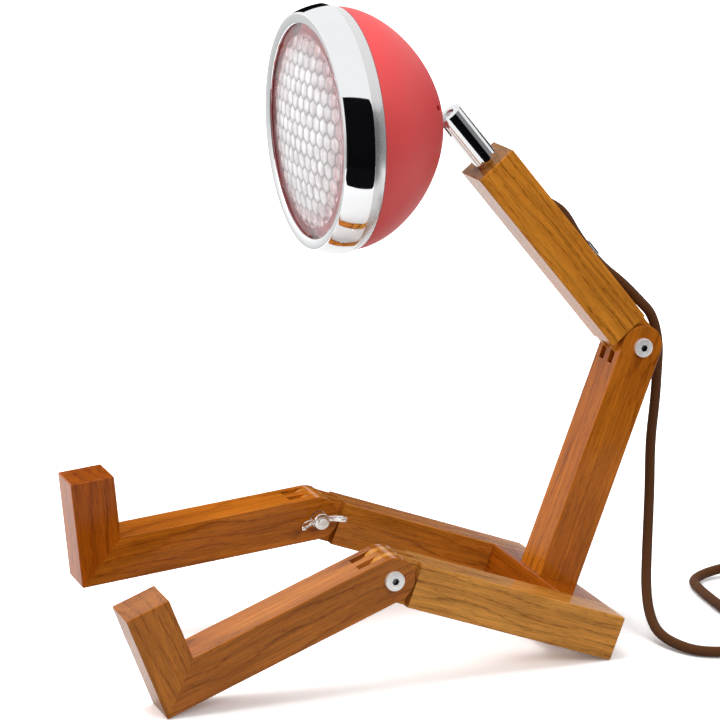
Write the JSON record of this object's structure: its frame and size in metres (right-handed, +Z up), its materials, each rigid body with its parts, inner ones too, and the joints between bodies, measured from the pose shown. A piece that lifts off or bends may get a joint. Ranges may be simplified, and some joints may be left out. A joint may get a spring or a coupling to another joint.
{
  "type": "robot shaped desk lamp",
  "caption": "Desk lamp shaped as a seated robot: varnished wooden bars on finger joints with wing nuts, a chrome ball neck, and a red dome head behind a chrome bezel and honeycomb lens.",
  "frame": {"origin": "on the surface that the lamp stands on, below the middle of the lamp's box without its cord", "axes": "+Z up; the lamp faces -Y; +X is the lamp's own left, the side of the lowered leg"},
  "size_m": [0.2536, 0.5527, 0.4041],
  "materials": {
    "wood_varnished": "glossy varnish over streaky lengthwise grain",
    "wood_dowel": "plain turned beech",
    "steel_nickel": "bright nickel plate",
    "steel_plain": "plain zinc plate",
    "chrome_plated": "mirror chrome plate",
    "brass_saddle": "polished sheet",
    "rubber_seal": "matt black",
    "nylon_white": "smooth white",
    "lead_sheath": "soft white sheath",
    "lacquer_coral": "satin coral red lacquer, inside and out",
    "ceramic_holder": "white glaze",
    "nickel_cap": "threaded nickel-plated cap",
    "opal_plastic": "white frosted globe",
    "glass_honeycomb": "clear, pressed with a honeycomb of small prisms",
    "cord_textile": "brown woven sleeve",
    "plastic_brown": "dark brown moulding",
    "plastic_dark": "near-black moulding",
    "brass_pins": "bright pins"
  },
  "bodies": {
    "seat": {"thigh_left": "wood_varnished", "thigh_right": "wood_varnished", "hip_rail": "wood_varnished", "hip_dowels": "wood_dowel", "torso_bar": "wood_varnished", "torso_screw": "steel_plain", "torso_dowels": "wood_dowel", "back_bolt": "steel_nickel", "back_washer": "steel_nickel", "cord_bend": "cord_textile", "cord_drop": "cord_textile", "switch_base": "plastic_brown", "switch_top": "plastic_brown", "cord_link": "cord_textile", "cord_coil": "cord_textile", "cord_tie": "plastic_brown", "cord_tail": "cord_textile", "plug_body": "plastic_brown", "plug_pins": "brass_pins"},
    "left_leg": {"shin_left": "wood_varnished", "foot_left": "wood_varnished", "foot_dowels_left": "wood_dowel", "knee_bolt_left": "steel_nickel", "knee_washer_left": "steel_nickel"},
    "right_leg": {"shin_right": "wood_varnished", "foot_right": "wood_varnished", "foot_dowels_right": "wood_dowel", "knee_bolt_right": "steel_nickel", "knee_washer_right": "steel_nickel"},
    "left_knee_nut": {"knee_wing_nut_left": "steel_nickel"},
    "right_knee_nut": {"knee_wing_nut_right": "steel_nickel"},
    "back_nut": {"back_wing_nut": "steel_nickel"},
    "upper_arm": {"upper_bar": "wood_varnished", "cord_clip": "brass_saddle", "cord_clip_nails": "steel_plain", "cord_upper": "cord_textile"},
    "neck": {"neck_tube": "chrome_plated", "neck_o_ring": "rubber_seal", "ball_seat": "nylon_white", "disc_springs": "steel_plain", "spring_nut": "steel_plain", "neck_lead": "lead_sheath"},
    "head": {"ball_stud": "steel_plain", "stud_collar": "steel_plain", "stud_washer": "steel_plain", "stud_nut": "steel_plain", "holder_bracket": "steel_plain", "holder_screws": "steel_plain", "lampholder": "ceramic_holder", "bulb_cap": "nickel_cap", "bulb_globe": "opal_plastic", "head_lead": "lead_sheath", "dome_shell": "lacquer_coral", "bezel_ring": "chrome_plated", "bezel_clips": "steel_plain", "lens": "glass_honeycomb", "lens_gasket": "rubber_seal", "lens_clips": "steel_plain"},
    "rocker": {"switch_rocker": "plastic_dark"}
  },
  "joints": [
    {"name": "left_knee", "type": "hinge", "parent": "seat", "child": "left_leg", "pos_m": [0.066, -0.02054, 0.06882], "axis": [1, 0, 0], "range_deg": [-131.4, 48.6]},
    {"name": "right_knee", "type": "hinge", "parent": "seat", "child": "right_leg", "pos_m": [-0.066, -0.02054, 0.06882], "axis": [1, 0, 0], "range_deg": [-115.8, 64.2]},
    {"name": "back_joint", "type": "hinge", "parent": "seat", "child": "upper_arm", "pos_m": [0, 0.17272, 0.17939], "axis": [1, 0, 0], "range_deg": [-105, 30], "deforming": ["cord_bend"]},
    {"name": "neck_swivel", "type": "hinge", "parent": "upper_arm", "child": "neck", "pos_m": [0, 0.07148, 0.30264], "axis": [0, -0.6347, 0.7727], "range_deg": [-90, 90]},
    {"name": "head_tilt", "type": "hinge", "parent": "neck", "child": "head", "pos_m": [0, 0.04926, 0.32969], "axis": [1, 0, 0], "range_deg": [-46, 36]},
    {"name": "left_knee_nut_turn", "type": "hinge", "parent": "left_leg", "child": "left_knee_nut", "pos_m": [0.0465, -0.02054, 0.06882], "axis": [1, 0, 0], "range_deg": [0, 360]},
    {"name": "right_knee_nut_turn", "type": "hinge", "parent": "right_leg", "child": "right_knee_nut", "pos_m": [-0.0465, -0.02054, 0.06882], "axis": [-1, 0, 0], "range_deg": [0, 360]},
    {"name": "back_nut_turn", "type": "hinge", "parent": "seat", "child": "back_nut", "pos_m": [-0.0195, 0.17272, 0.17939], "axis": [-1, 0, 0], "range_deg": [0, 360]},
    {"name": "rocker_tilt", "type": "hinge", "parent": "seat", "child": "rocker", "pos_m": [0.0044, 0.315, 0.013], "axis": [-0.7071, 0.7071, 0], "range_deg": [0, 16]}
  ]
}
